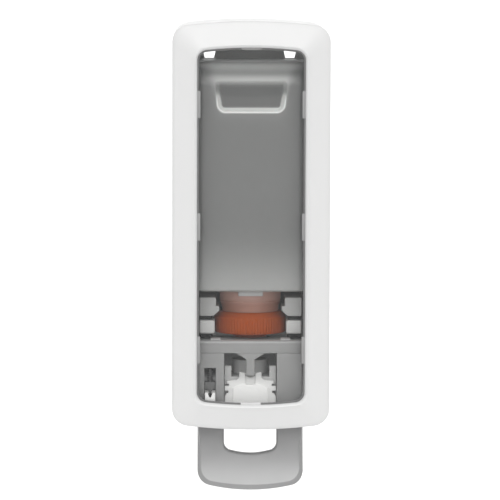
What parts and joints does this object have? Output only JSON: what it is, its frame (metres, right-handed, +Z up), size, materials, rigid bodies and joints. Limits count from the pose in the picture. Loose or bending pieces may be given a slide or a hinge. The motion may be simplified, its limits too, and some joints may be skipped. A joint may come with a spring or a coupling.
{
  "type": "wall mounted soap dispenser",
  "caption": "Tall white wall soap dispenser with a windowed hinged cover, an upside-down grey refill bottle with an orange cap, and a grey push lever below.",
  "frame": {"origin": "centre of the back plate's wall face, on the middle plane, half way up the cover", "axes": "+X to the right as seen from the front, +Y into the wall, +Z up; the wall is the plane Y = 0 and the front looks along -Y"},
  "size_m": [0.11, 0.108, 0.3281],
  "materials": {
    "white_plastic": "satin white",
    "grey_plastic": "satin mid grey",
    "clear_sheet": "clear polished sheet",
    "dark_seal": "matt dark rubber",
    "bottle_plastic": "grey translucent bottle",
    "orange_plastic": "orange ribbed cap",
    "soft_valve": "milky soft rubber",
    "pump_plastic": "natural plastic",
    "dark_plastic": "dark grey plastic",
    "spring_steel": "spring wire",
    "steel": "bright steel"
  },
  "bodies": {
    "wall_unit": {"back_plate": "white_plastic", "hinge_pin_left": "steel", "hinge_pin_right": "steel", "pump_housing": "grey_plastic", "housing_pillar_left": "grey_plastic", "housing_pillar_right": "grey_plastic", "housing_screws": "steel", "neck_fork": "grey_plastic", "cap_cradle": "white_plastic", "lever_pin_left": "steel", "lever_pin_right": "steel", "latch_spring": "spring_steel", "refill_bottle": "bottle_plastic", "cap_collar": "orange_plastic", "cap_gasket": "dark_seal", "pump_cylinder": "pump_plastic", "inlet_valve": "soft_valve", "pump_spring": "spring_steel"},
    "cover": {"front_cover": "white_plastic", "window_lens": "clear_sheet", "lens_gasket": "dark_seal", "cover_catch": "white_plastic"},
    "latch": {"latch_bolt": "grey_plastic"},
    "lever": {"push_lever": "grey_plastic", "lever_bushing_left": "pump_plastic", "lever_bushing_right": "pump_plastic"},
    "carriage": {"pump_carriage": "white_plastic", "drive_pin_left": "steel", "drive_pin_right": "steel", "actuator_disc": "dark_plastic", "pump_stem": "pump_plastic", "piston_seal": "dark_seal", "outlet_valve": "soft_valve"}
  },
  "joints": [
    {"name": "cover_hinge", "type": "hinge", "parent": "wall_unit", "child": "cover", "pos_m": [0, -0.009, 0.134], "axis": [-1, 0, 0], "range_deg": [0, 80]},
    {"name": "lever_pivot", "type": "hinge", "parent": "wall_unit", "child": "lever", "pos_m": [0, -0.078, -0.11], "axis": [1, 0, 0], "range_deg": [0, 16]},
    {"name": "carriage_slide", "type": "slide", "parent": "wall_unit", "child": "carriage", "axis": [0, 0, 1], "range_m": [0, 0.0063], "stiffness_N_per_m": 300, "springref_m": -0.006, "deforming": ["pump_spring"]},
    {"name": "latch_slide", "type": "slide", "parent": "wall_unit", "child": "latch", "axis": [0, 0, 1], "range_m": [0, 0.003], "stiffness_N_per_m": 150, "springref_m": -0.002, "deforming": ["latch_spring"]}
  ],
  "couplings": [
    {"joint": "carriage_slide", "follows": "lever_pivot", "m_per_rad": 0.0204}
  ]
}
